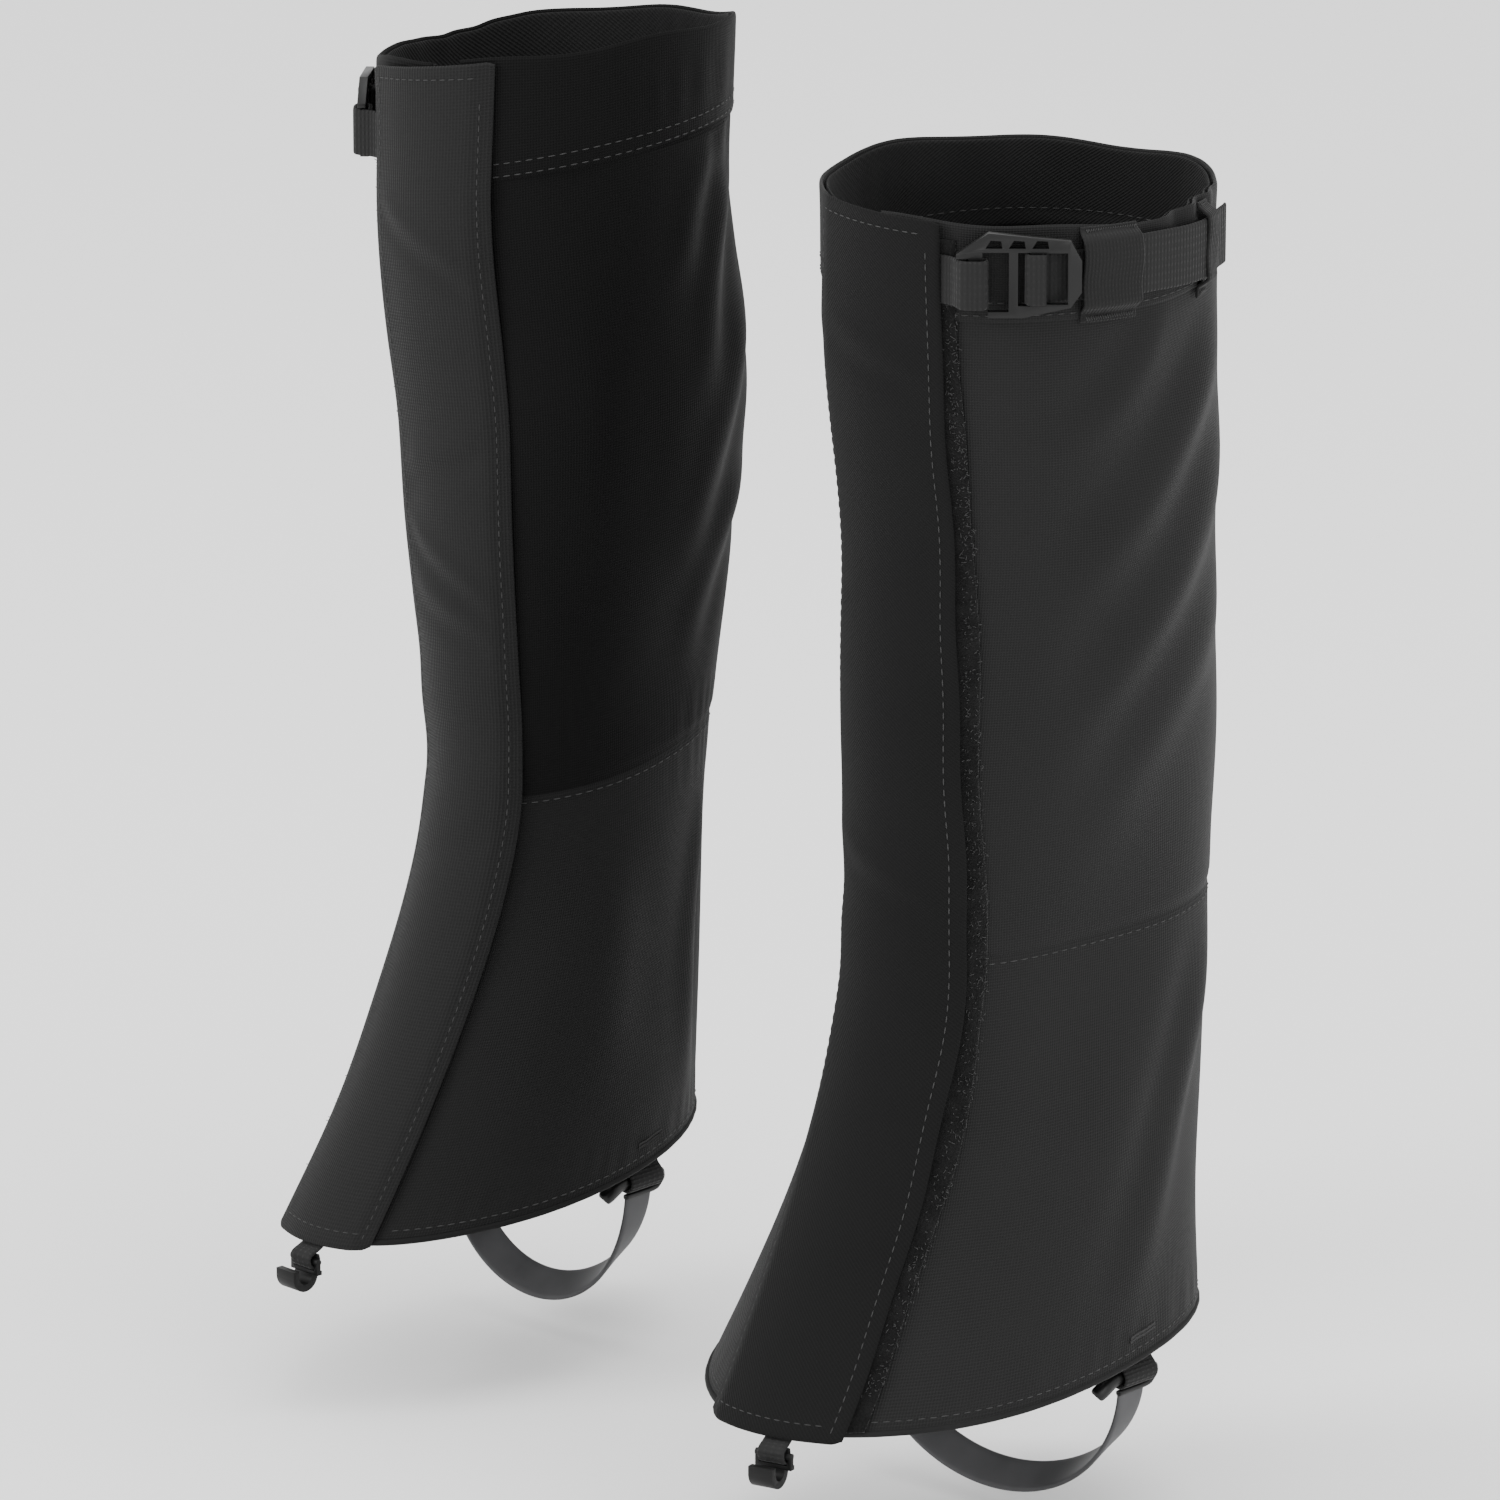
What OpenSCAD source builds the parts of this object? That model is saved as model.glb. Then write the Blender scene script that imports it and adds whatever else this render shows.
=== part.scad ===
// A pair of knee-high hook-and-loop gaiters, standing as if on two legs.
// Millimetres. Front of the leg is -Y, up is +Z, the wearer's left is +X.
// Each gaiter is drawn once, with its outer side towards +X, and the right one is mirrored.
// Every layer is an offset of one leg surface, so layers never cut each other.

/* [Stance] */
// Distance between the two leg centres
spacing = 238; // [200:1:300]
// How far the left leg stands ahead of the right one
stagger = 28; // [0:1:60]

/* [Leg surface, right then left] */
// Half width of the hem
hem_wide = [54.5, 71.5]; // [50:0.5:76]
// Half length of the hem, toe to heel
hem_deep = [88, 96.5]; // [80:0.5:115]
// Half width of the ankle
ankle_wide = [39.5, 44.5]; // [36:0.5:64]
// Half depth of the ankle
ankle_deep = [52.5, 72.5]; // [46:0.5:76]
// Radius at the top, where the section is round
top_radius = [59.5, 62.5]; // [56:0.5:70]
// Height at which the leg reaches its top radius
calf_height = [304, 385]; // [240:1:390]
// Sideways lean of the top, outwards
lean_out = [5, 5]; // [0:1:15]
// Backward lean of the top
lean_back = [7, -5]; // [-10:1:12]
// How much higher the hem sits at the heel than at the toe
hem_rise = [20, 13]; // [0:1:25]
// Height of the narrowest ankle
ankle_height = 150; // [120:5:180]
// How far the ankle sits behind the leg's middle line
ankle_back = 17; // [0:0.5:25]
// How far the hem reaches ahead of the leg's middle line
hem_ahead = 27; // [5:1:35]
// How far the calf sits behind the leg's middle line at the top
top_back = 8; // [0:1:12]

/* [Panels, right then left] */
// Height of the rim
rim_height = [404, 401]; // [380:1:430]
// How far the rim and collar dip from the middle to the outer side
rim_tilt = [10, 0]; // [0:1:12]
// Lower edge of the collar band at the front
collar_height = [361, 369]; // [350:1:375]
// How much higher that edge sits at the back
collar_rise = [12, 5]; // [0:1:15]
// Front height of the seam between the two leg panels
seam_height = [145.5, 151.5]; // [130:0.5:180]
// Rise of that seam from front to back
seam_rise = [18, 5]; // [0:1:25]
// Cloth thickness
cloth = 1.2; // [0.8:0.1:2]
// Distance from the centre line to the sewn edge of the flap, at its foot
flap_sewn_low = [18, 21]; // [15:1:35]
// The same at the flap's head
flap_sewn_high = [26, 35]; // [20:1:40]
// Distance from the centre line to the free edge of the flap, at its foot
flap_free_low = [22, 31]; // [15:1:35]
// The same at the flap's head
flap_free_high = [29, 21]; // [15:1:35]
// Height of the flap's top edge
flap_top_height = [401, 400]; // [380:1:420]
// Height above which the flap stays with the collar
flap_split = 350; // [320:5:375]
// Width of loop tape that shows beyond the free edge
tape_show = 5; // [2:0.5:8]

/* [Hardware] */
// Height of the middle of the buckle and belt
belt_height = [376, 386]; // [370:1:390]
// Angle of the buckle's middle from the front
buckle_angle = [50, 42]; // [30:1:60]
// Buckle length
buckle_long = 41; // [34:1:48]
// Buckle thickness
buckle_thick = 3; // [2:0.5:4]
// Belt width
belt_wide = 20; // [15:1:25]
// Webbing thickness
web = 1.5; // [1:0.1:2]
// How far the lace hook sits to the outer side of the toe
lace_aside = [2, 12]; // [0:1:20]
// Width of the lace hook's webbing
lace_wide = 10; // [8:1:16]
// Instep strap width
strap_wide = 12; // [8:1:16]
// Instep strap thickness
strap_thick = 2.2; // [1.5:0.1:3]
// How far the instep strap drops below its bar tacks
strap_drop = 62; // [45:1:75]
// Angle of the instep strap's tabs from the front
strap_angle = 104; // [90:1:115]

/* [Hidden] */
$fn = 32;
R = -1;
L = 1;
function of(list, s) = s < 0 ? list[0] : list[1];
function clip(u) = min(1, max(0, u));
function smooth(u) = clip(u) * clip(u) * (3 - 2 * clip(u));
function flare(z) = pow(clip((ankle_height - z) / (ankle_height + 10)), 1.63);
function widen(s, z) = smooth((z - ankle_height) / (of(calf_height, s) - ankle_height));
function wide(s, z) = of(ankle_wide, s)
    + (of(hem_wide, s) - of(ankle_wide, s)) * flare(z)
    + (of(top_radius, s) - of(ankle_wide, s)) * widen(s, z);
function deep(s, z) = of(ankle_deep, s)
    + (of(hem_deep, s) - of(ankle_deep, s)) * flare(z)
    + (of(top_radius, s) - of(ankle_deep, s)) * widen(s, z);
function middle(s, z) = ankle_back - (hem_ahead + ankle_back) * flare(z)
    - (ankle_back - top_back) * smooth((z - 270) / 95)
    + of(lean_back, s) * z / 400;
function outward(s, z) = of(lean_out, s) * z / 400;
// a point at angle t from the front, height z, offset r from the leg surface
function leg(s, t, z, r) = [
    outward(s, z) + (wide(s, z) + r) * sin(t),
    middle(s, z) - (deep(s, z) + r) * cos(t),
    z];
function hem(s, t) = of(hem_rise, s) * (1 - cos(t)) / 2;
function seam(s, t) = of(seam_height, s) + of(seam_rise, s) * (1 - cos(t)) / 2;
function dipped(height, s, t) = of(height, s) - of(rim_tilt, s) * sin(t);
function collar_edge(s, t) = dipped(collar_height, s, t) + of(collar_rise, s) * (1 - cos(t)) / 2;
// the flap's two edges, as distances from the centre line
function along(low, high, s, z) = of(low, s) + (of(high, s) - of(low, s)) * z / 400;
function sewn(s, z) = -along(flap_sewn_low, flap_sewn_high, s, z);
function free(s, z) = along(flap_free_low, flap_free_high, s, z);
// an upright edge at distance x from the centre line
function edge(s, z, x) = x / wide(s, z) * 180 / PI;
function level(rule, s, t) = rule[1] + (
    rule[0] == "hem" ? hem(s, t) :
    rule[0] == "seam" ? seam(s, t) :
    rule[0] == "collar" ? collar_edge(s, t) :
    rule[0] == "rim" ? dipped(rim_height, s, t) :
    rule[0] == "top" ? dipped(flap_top_height, s, t) : 0);
function turn(rule, s, z) =
    rule[0] == "across" ? edge(s, z, rule[1]) :
    rule[0] == "sewn" ? edge(s, z, sewn(s, z) + rule[1]) :
    rule[0] == "free" ? edge(s, z, free(s, z) + rule[1]) :
    rule[0] == "round" ? 360 + edge(s, z, rule[1]) : rule[1];

// a closed solid between two grids of points, indexed [i][j]
module between(inner, outer) {
    n = len(inner) - 1;
    m = len(inner[0]) - 1;
    w = m + 1;
    o = (n + 1) * w;
    flat = concat([for (row = inner) for (p = row) p], [for (row = outer) for (p = row) p]);
    polyhedron(flat, concat(
        [for (i = [0:n - 1]) for (j = [0:m - 1])
            each two(o + i * w + j, o + i * w + j + 1, o + (i + 1) * w + j + 1, o + (i + 1) * w + j)],
        [for (i = [0:n - 1]) for (j = [0:m - 1])
            each two(i * w + j, (i + 1) * w + j, (i + 1) * w + j + 1, i * w + j + 1)],
        [for (i = [0:n - 1]) each two(o + i * w, o + (i + 1) * w, (i + 1) * w, i * w)],
        [for (i = [0:n - 1]) each two(o + (i + 1) * w + m, o + i * w + m, i * w + m, (i + 1) * w + m)],
        [for (j = [0:m - 1]) each two(o + j + 1, o + j, j, j + 1)],
        [for (j = [0:m - 1]) each two(o + n * w + j, o + n * w + j + 1, n * w + j + 1, n * w + j)]
    ), convexity = 8);
}
function two(a, b, c, d) = [[a, b, c], [a, c, d]];

// a curved sheet of the leg surface
function sheet_row(s, t0, t1, low, high, r, u, m) =
    let (mid = turn(t0, s, 200) + u * (turn(t1, s, 200) - turn(t0, s, 200)))
    [for (j = [0:m])
        let (z = level(low, s, mid) + j / m * (level(high, s, mid) - level(low, s, mid)))
        leg(s, turn(t0, s, z) + u * (turn(t1, s, z) - turn(t0, s, z)), z, r)];
module sheet(s, t0, t1, low, high, r0, r1, n, m) {
    between([for (i = [0:n]) sheet_row(s, t0, t1, low, high, r0, i / n, m)],
            [for (i = [0:n]) sheet_row(s, t0, t1, low, high, r1, i / n, m)]);
}
// a band whose section, a list of [r, z], is carried round from t0 to t1
module band(s, t0, t1, inside, outside, n) {
    between([for (i = [0:n]) [for (p = inside) leg(s, t0 + i / n * (t1 - t0), p[1], p[0])]],
            [for (i = [0:n]) [for (p = outside) leg(s, t0 + i / n * (t1 - t0), p[1], p[0])]]);
}
// places a gaiter drawn with its outer side towards +X
module gaiter(s) {
    translate([s * spacing / 2, -s * stagger / 2, 0])
        mirror([s < 0 ? 1 : 0, 0, 0]) children();
}
// the belt zone: x points out of the cloth, y runs backwards round the leg
buckle_lift = 3.4;
module on_belt(s) {
    z = of(belt_height, s);
    translate([outward(s, z), middle(s, z), z]) rotate([0, 0, of(buckle_angle, s) - 90])
        translate([of(top_radius, s) + buckle_lift, 0, 0]) children();
}
// depth in that zone of a point offset r from the leg, y along the belt
function dip(s, r, y) = sqrt(pow(of(top_radius, s) + r, 2) - y * y)
    - of(top_radius, s) - buckle_lift;

module upper_shell(s) sheet(s, ["across", -2], ["round", -13], ["seam", 0.2],
    ["collar", -0.2], 0, cloth, 36, 9);
module lower_shell(s) sheet(s, ["across", -2], ["round", -13], ["hem", 2],
    ["seam", -0.2], 0, cloth, 36, 9);
module collar(s) sheet(s, ["across", -2], ["round", -13], ["collar", 0.2],
    ["rim", 0], 0, cloth + 0.2, 36, 2);
module collar_facing(s) sheet(s, ["across", -2], ["round", -13], ["collar", 0.2],
    ["rim", -1], -1.4, -0.2, 36, 2);
module hem_facing(s) sheet(s, ["across", -2], ["round", -13], ["hem", 2.5],
    ["hem", 17], -1.4, -0.2, 36, 2);
module calf_seam(s) sheet(s, ["angle", 186], ["angle", 194], ["seam", 6],
    ["collar", -3], -2, -0.8, 2, 10);
module loop_tape(s) sheet(s, ["across", -1], ["free", tape_show], ["hem", 16],
    ["top", -4], cloth + 0.4, cloth + 1.3, 8, 36);
module hook_tape(s) sheet(s, ["across", 1], ["free", -1], ["hem", 18],
    ["flat", flap_split - 4], cloth + 1.6, cloth + 2.3, 6, 32);
module flap(s) sheet(s, ["sewn", 0], ["free", 0], ["flat", 0],
    ["flat", flap_split - 0.3], cloth + 2.7, cloth + 4.1, 12, 32);
module flap_head(s) sheet(s, ["sewn", 0], ["free", 0],
    ["flat", flap_split + 0.3], ["top", 0], cloth + 2.7, cloth + 4.1, 12, 5);

// the buckle's outline: y along the belt from its nose, z up from its middle
module buckle_plate() {
    difference() {
        polygon([[0.5, 7], [11, 14], [37.5, 11.5], [41, 5], [41, -5.5], [37.5, -10.5],
            [22, -14], [10.8, -14], [10.8, -12], [17.5, -12], [17.5, 7.6], [9, 7.6],
            [9, -9.5], [5, -9.5], [4.5, -9], [4.5, 5.5], [0.5, 5.5]]);
        translate([20.5, -10]) square([4, 17.6]);
        translate([28.5, -9.5]) square([8, 17]);
        for (i = [0:2])
            translate([10 + i * 7.5, 9]) polygon([[0, 0], [5.4, 0], [5, 2.4], [1.6, 2.6]]);
    }
}
module buckle(s) on_belt(s) translate([0, -buckle_long / 2, 0])
    rotate([90, 0, 90]) linear_extrude(buckle_thick) buckle_plate();
// webbing folded round the buckle's hook bar, its ends sewn under the flap's free edge
module flap_tab(s) on_belt(s) translate([0, 0, -11.2]) linear_extrude(16.2)
    difference() {
        half = buckle_long / 2;
        polygon([[-1.9, 10.2 - half], [-1.2, 10.6 - half], [4.2, 10.6 - half], [4.9, 9.9 - half],
            [4.9, 3 - half], [dip(s, 5.5, -21), -21], [dip(s, 3.6, -23.2), -23.2],
            [dip(s, 3.6, -31), -31], [dip(s, 2.7, -31), -31], [dip(s, 2.7, -24), -24],
            [dip(s, 3.6, -21.5), -21.5], [-1.9, 1 - half]]);
        translate([-0.3, 4.1 - half]) square([buckle_thick + 0.6, 5.2]);
    }
// webbing folded round the buckle's middle bar and run under the keeper
module buckle_web(s) on_belt(s) translate([0, 0, -9.6]) linear_extrude(16.8)
    difference() {
        polygon([[-1.7, 2.6], [4.7, 2.6], [4.7, 9.6], [-0.3, 9.6], [dip(s, 3.1, 17.6), 17.6],
            [dip(s, 3.1, 24), 24], [dip(s, 3.1, 31), 31], [dip(s, 1.6, 31), 31],
            [dip(s, 1.6, 24), 24], [dip(s, 1.6, 17.6), 17.6], [-1.7, 8.8]]);
        translate([-0.3, 3.7]) square([buckle_thick + 0.6, 4.6]);
    }
// angles round the leg are measured from the buckle's middle
function past(s, angle) = of(buckle_angle, s) + angle;
// the belt's moving end, which slides round the collar
module belt_tail(s) sheet(s, ["angle", past(s, 23)], ["angle", past(s, 81)],
    ["flat", of(belt_height, s) - belt_wide / 2], ["flat", of(belt_height, s) + belt_wide / 2],
    3.6, 3.6 + web - 0.1, 16, 1);
// a webbing bridge over the belt, sewn above and below it
module bridge(s, from, to, n) {
    b = of(belt_height, s);
    band(s, past(s, from), past(s, to),
        [for (p = [[1.6, -17.5], [1.6, -13.6], [5.4, -11.4], [5.4, 10.8], [1.6, 12.4], [1.6, 14.5]])
            [p[0], b + p[1]]],
        [for (p = [[3, -17.5], [3, -14.4], [6.8, -12.2], [6.8, 11.5], [3, 13.2], [3, 14.5]])
            [p[0], b + p[1]]], n);
}
module keeper(s) bridge(s, 18, 36, 5);
module belt_loop(s) bridge(s, 64, 70.5, 2);

// the toe zone, at the lace hook's bar: x runs along the hem, y points into the leg
lace_drop = 5;
function toe(s) = asin(of(lace_aside, s) / wide(s, -lace_drop));
function front(s, z, r) = middle(s, z) - middle(s, -lace_drop)
    - (deep(s, z) - deep(s, -lace_drop)) * cos(toe(s)) - r;
module on_toe(s) translate(leg(s, toe(s), 0, 0) + [0, middle(s, -lace_drop) - middle(s, 0)
    - (deep(s, -lace_drop) - deep(s, 0)) * cos(toe(s)), 0])
    rotate([0, 0, atan2(deep(s, 0) * sin(toe(s)), wide(s, 0) * cos(toe(s)))]) children();
// draws a profile in (y, z) and runs it along x
module crosswise(s, length) on_toe(s) translate([-length / 2, 0, 0])
    rotate([90, 0, 90]) linear_extrude(length) children();
module lace_tab(s) crosswise(s, lace_wide) {
    y = front(s, -lace_drop, 2.6);
    difference() {
        polygon(concat(
            [for (a = [20:-20:-200]) [y + 2.7 * cos(a), -lace_drop + 2.7 * sin(a)]],
            [[front(s, -1, 2.8), -1], [front(s, 12.5, 2.7), 12.5],
                [front(s, 12.5, 1.4), 12.5], [front(s, 1, 1.4), 1]]));
        translate([y, -lace_drop]) circle(r = 1.5);
    }
}
// a bar in the webbing, two arms round it and a hook that curls up in front
module lace_hook(s) {
    y = front(s, -lace_drop, 2.6);
    crosswise(s, lace_wide + 3.6) translate([y, -lace_drop]) circle(r = 1.15);
    for (x = [-lace_wide / 2 - 1.8, lace_wide / 2 + 0.2])
        on_toe(s) translate([x, y - 0.8, -lace_drop - 4.5]) cube([1.6, 1.6, 4.5]);
    crosswise(s, lace_wide + 3.6) translate([y - 0.8, -lace_drop - 4.6]) square([2.2, 1.5]);
    crosswise(s, lace_wide - 1) translate([y - 4, -lace_drop - 4.5]) {
        difference() {
            circle(r = 5.5);
            circle(r = 2.9);
            translate([-8, 0]) square([16, 8]);
        }
        translate([-5.5, -0.1]) square([2.6, 2.6]);
    }
}

// the instep strap and what carries it, hung from two bar tacks
tack_up = 7;
function tack_z(s) = hem(s, strap_angle) + tack_up;
function tack_y(s) = leg(s, strap_angle, tack_z(s), 0)[1];
// the tabs are sewn inside the hem
function tab_x(s) = (wide(s, tack_z(s) + 5) - 1.6) * sin(strap_angle) - 1.6 - web;
// side +1 is the outer side, -1 the inner side
module strap_tab(s, side) {
    x = tab_x(s);
    translate([outward(s, 0) + side * x, tack_y(s) + 8, tack_z(s)])
        mirror([side < 0 ? 1 : 0, 0, 0]) rotate([90, 0, 0]) linear_extrude(16)
            difference() {
                union() {
                    translate([0, -12]) square([web, 16]);
                    translate([0.75, -13.5]) circle(r = 4);
                }
                translate([0.75, -13.5]) circle(r = 2.7);
            }
}
// a bar through the webbing whose front end stands out, and a plate the strap is joined to
module strap_hook(s, side) {
    x = tab_x(s);
    translate([outward(s, 0) + side * x, tack_y(s), tack_z(s)])
        mirror([side < 0 ? 1 : 0, 0, 0]) {
            translate([0.75, 10, -13.5]) rotate([90, 0, 0]) cylinder(r = 2.3, h = 28);
            translate([-0.6, 8.5, -22]) cube([2.7, 1.5, 8.5]);
            translate([-0.6, -strap_wide / 2, -23.5]) cube([2.7, strap_wide / 2 + 10, 5]);
        }
}
function hang(s, u, inset) = [
    (tab_x(s) - 0.9 - inset) * cos(u), -23 - (strap_drop - 23 - inset) * sin(u)];
module instep_strap(s) {
    n = 28;
    x = tab_x(s);
    translate([outward(s, 0), tack_y(s) + strap_wide / 2, tack_z(s)])
        rotate([90, 0, 0]) linear_extrude(strap_wide)
            polygon(concat([for (i = [0:n]) hang(s, i * 180 / n, 0)],
                [for (i = [n:-1:0]) hang(s, i * 180 / n, strap_thick)]));
}

module right_upper_shell() color([0.12, 0.12, 0.12]) gaiter(R) upper_shell(R);
module right_lower_shell() color([0.14, 0.14, 0.14]) gaiter(R) lower_shell(R);
module right_collar() color([0.11, 0.11, 0.11]) gaiter(R) collar(R);
module right_collar_facing() color([0.08, 0.08, 0.08]) gaiter(R) collar_facing(R);
module right_hem_facing() color([0.08, 0.08, 0.08]) gaiter(R) hem_facing(R);
module right_calf_seam() color([0.08, 0.08, 0.08]) gaiter(R) calf_seam(R);
module right_loop_tape() color([0.2, 0.2, 0.2]) gaiter(R) loop_tape(R);
module right_hook_tape() color([0.15, 0.15, 0.15]) gaiter(R) hook_tape(R);
module right_flap() color([0.22, 0.22, 0.22]) gaiter(R) flap(R);
module right_flap_head() color([0.22, 0.22, 0.22]) gaiter(R) flap_head(R);
module right_buckle() color([0.3, 0.3, 0.3]) gaiter(R) buckle(R);
module right_flap_tab() color([0.25, 0.25, 0.25]) gaiter(R) flap_tab(R);
module right_buckle_web() color([0.25, 0.25, 0.25]) gaiter(R) buckle_web(R);
module right_belt_tail() color([0.27, 0.27, 0.27]) gaiter(R) belt_tail(R);
module right_keeper() color([0.22, 0.22, 0.22]) gaiter(R) keeper(R);
module right_belt_loop() color([0.22, 0.22, 0.22]) gaiter(R) belt_loop(R);
module right_lace_tab() color([0.25, 0.25, 0.25]) gaiter(R) lace_tab(R);
module right_lace_hook() color([0.1, 0.1, 0.1]) gaiter(R) lace_hook(R);
module right_outer_strap_tab() color([0.25, 0.25, 0.25]) gaiter(R) strap_tab(R, 1);
module right_inner_strap_tab() color([0.25, 0.25, 0.25]) gaiter(R) strap_tab(R, -1);
module right_outer_strap_hook() color([0.1, 0.1, 0.1]) gaiter(R) strap_hook(R, 1);
module right_inner_strap_hook() color([0.1, 0.1, 0.1]) gaiter(R) strap_hook(R, -1);
module right_instep_strap() color([0.4, 0.4, 0.4]) gaiter(R) instep_strap(R);
module left_upper_shell() color([0.12, 0.12, 0.12]) gaiter(L) upper_shell(L);
module left_lower_shell() color([0.14, 0.14, 0.14]) gaiter(L) lower_shell(L);
module left_collar() color([0.11, 0.11, 0.11]) gaiter(L) collar(L);
module left_collar_facing() color([0.08, 0.08, 0.08]) gaiter(L) collar_facing(L);
module left_hem_facing() color([0.08, 0.08, 0.08]) gaiter(L) hem_facing(L);
module left_calf_seam() color([0.08, 0.08, 0.08]) gaiter(L) calf_seam(L);
module left_loop_tape() color([0.2, 0.2, 0.2]) gaiter(L) loop_tape(L);
module left_hook_tape() color([0.15, 0.15, 0.15]) gaiter(L) hook_tape(L);
module left_flap() color([0.22, 0.22, 0.22]) gaiter(L) flap(L);
module left_flap_head() color([0.22, 0.22, 0.22]) gaiter(L) flap_head(L);
module left_buckle() color([0.3, 0.3, 0.3]) gaiter(L) buckle(L);
module left_flap_tab() color([0.25, 0.25, 0.25]) gaiter(L) flap_tab(L);
module left_buckle_web() color([0.25, 0.25, 0.25]) gaiter(L) buckle_web(L);
module left_belt_tail() color([0.27, 0.27, 0.27]) gaiter(L) belt_tail(L);
module left_keeper() color([0.22, 0.22, 0.22]) gaiter(L) keeper(L);
module left_belt_loop() color([0.22, 0.22, 0.22]) gaiter(L) belt_loop(L);
module left_lace_tab() color([0.25, 0.25, 0.25]) gaiter(L) lace_tab(L);
module left_lace_hook() color([0.1, 0.1, 0.1]) gaiter(L) lace_hook(L);
module left_outer_strap_tab() color([0.25, 0.25, 0.25]) gaiter(L) strap_tab(L, 1);
module left_inner_strap_tab() color([0.25, 0.25, 0.25]) gaiter(L) strap_tab(L, -1);
module left_outer_strap_hook() color([0.1, 0.1, 0.1]) gaiter(L) strap_hook(L, 1);
module left_inner_strap_hook() color([0.1, 0.1, 0.1]) gaiter(L) strap_hook(L, -1);
module left_instep_strap() color([0.4, 0.4, 0.4]) gaiter(L) instep_strap(L);

right_upper_shell();
right_lower_shell();
right_collar();
right_collar_facing();
right_hem_facing();
right_calf_seam();
right_loop_tape();
right_hook_tape();
right_flap();
right_flap_head();
right_buckle();
right_flap_tab();
right_buckle_web();
right_belt_tail();
right_keeper();
right_belt_loop();
right_lace_tab();
right_lace_hook();
right_outer_strap_tab();
right_inner_strap_tab();
right_outer_strap_hook();
right_inner_strap_hook();
right_instep_strap();
left_upper_shell();
left_lower_shell();
left_collar();
left_collar_facing();
left_hem_facing();
left_calf_seam();
left_loop_tape();
left_hook_tape();
left_flap();
left_flap_head();
left_buckle();
left_flap_tab();
left_buckle_web();
left_belt_tail();
left_keeper();
left_belt_loop();
left_lace_tab();
left_lace_hook();
left_outer_strap_tab();
left_inner_strap_tab();
left_outer_strap_hook();
left_inner_strap_hook();
left_instep_strap();
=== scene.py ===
import math

import bmesh
import bpy
import numpy as np
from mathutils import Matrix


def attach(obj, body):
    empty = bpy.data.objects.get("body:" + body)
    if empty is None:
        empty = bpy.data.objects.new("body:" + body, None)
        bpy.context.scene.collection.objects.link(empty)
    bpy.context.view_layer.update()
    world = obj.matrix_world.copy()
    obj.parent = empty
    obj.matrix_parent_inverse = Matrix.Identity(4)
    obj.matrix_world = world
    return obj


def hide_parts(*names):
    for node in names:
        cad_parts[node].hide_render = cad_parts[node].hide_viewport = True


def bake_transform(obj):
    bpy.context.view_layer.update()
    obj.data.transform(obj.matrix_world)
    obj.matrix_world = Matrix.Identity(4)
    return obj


# A pair of tall cloth gaiters standing as if worn. Metres. -Y is the front, +X the wearer's left.
# Each gaiter is worked out in its own millimetres, with its outer side towards +X, and the
# right one is mirrored. Every layer is an offset of one leg surface, as in the CAD model.

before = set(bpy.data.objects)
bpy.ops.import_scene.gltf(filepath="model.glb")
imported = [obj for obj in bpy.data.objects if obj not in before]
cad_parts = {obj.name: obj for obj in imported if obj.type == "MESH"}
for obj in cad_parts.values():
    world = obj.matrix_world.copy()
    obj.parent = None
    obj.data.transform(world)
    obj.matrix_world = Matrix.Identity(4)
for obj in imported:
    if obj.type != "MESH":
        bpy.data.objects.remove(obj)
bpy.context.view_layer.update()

# ---------------------------------------------------------------- camera

camera_azimuth = math.radians(43)
camera_pitch = math.radians(16.46)
camera_data = bpy.data.cameras.new("camera")
camera_data.lens = 293
camera_data.clip_end = 50
camera = bpy.data.objects.new("camera", camera_data)
bpy.context.scene.collection.objects.link(camera)
camera.location = (2.6974, -2.8985, 1.3497)
camera.rotation_euler = (math.pi / 2 - camera_pitch, 0, camera_azimuth)
bpy.context.scene.camera = camera

# ---------------------------------------------------------------- the leg surface

RIGHT = -1
LEFT = 1
hem_wide = {RIGHT: 54.5, LEFT: 71.5}
hem_deep = {RIGHT: 88, LEFT: 96.5}
ankle_wide = {RIGHT: 39.5, LEFT: 44.5}
ankle_deep = {RIGHT: 52.5, LEFT: 72.5}
top_radius = {RIGHT: 59.5, LEFT: 62.5}
calf_height = {RIGHT: 304, LEFT: 385}
lean_out = 5
lean_back = {RIGHT: 7, LEFT: -5}
hem_rise = {RIGHT: 20, LEFT: 13}
ankle_height = 150
rim_height = {RIGHT: 404, LEFT: 401}
rim_tilt = {RIGHT: 10, LEFT: 0}
collar_height = {RIGHT: 361, LEFT: 369}
collar_rise = {RIGHT: 12, LEFT: 5}
seam_height = {RIGHT: 145.5, LEFT: 151.5}
seam_rise = {RIGHT: 18, LEFT: 5}
flap_sewn = {RIGHT: (18, 26), LEFT: (21, 35)}
flap_free = {RIGHT: (22, 29), LEFT: (31, 21)}
flap_top = {RIGHT: 401, LEFT: 400}
tape_show = 5
belt_height = {RIGHT: 376, LEFT: 386}
buckle_angle = {RIGHT: 50, LEFT: 42}
lace_aside = {RIGHT: 2, LEFT: 12}
strap_angle = math.radians(104)
strap_drop = 62
spacing = 238
stagger = 28


def smooth(u):
    u = np.clip(u, 0, 1)
    return u * u * (3 - 2 * u)


def flare(z):
    return np.clip((ankle_height - z) / (ankle_height + 10), 0, 1) ** 1.63


def widen(s, z):
    return smooth((z - ankle_height) / (calf_height[s] - ankle_height))


def wide(s, z):
    grown = (hem_wide[s] - ankle_wide[s]) * flare(z)
    return ankle_wide[s] + grown + (top_radius[s] - ankle_wide[s]) * widen(s, z)


def deep(s, z):
    grown = (hem_deep[s] - ankle_deep[s]) * flare(z)
    return ankle_deep[s] + grown + (top_radius[s] - ankle_deep[s]) * widen(s, z)


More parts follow.
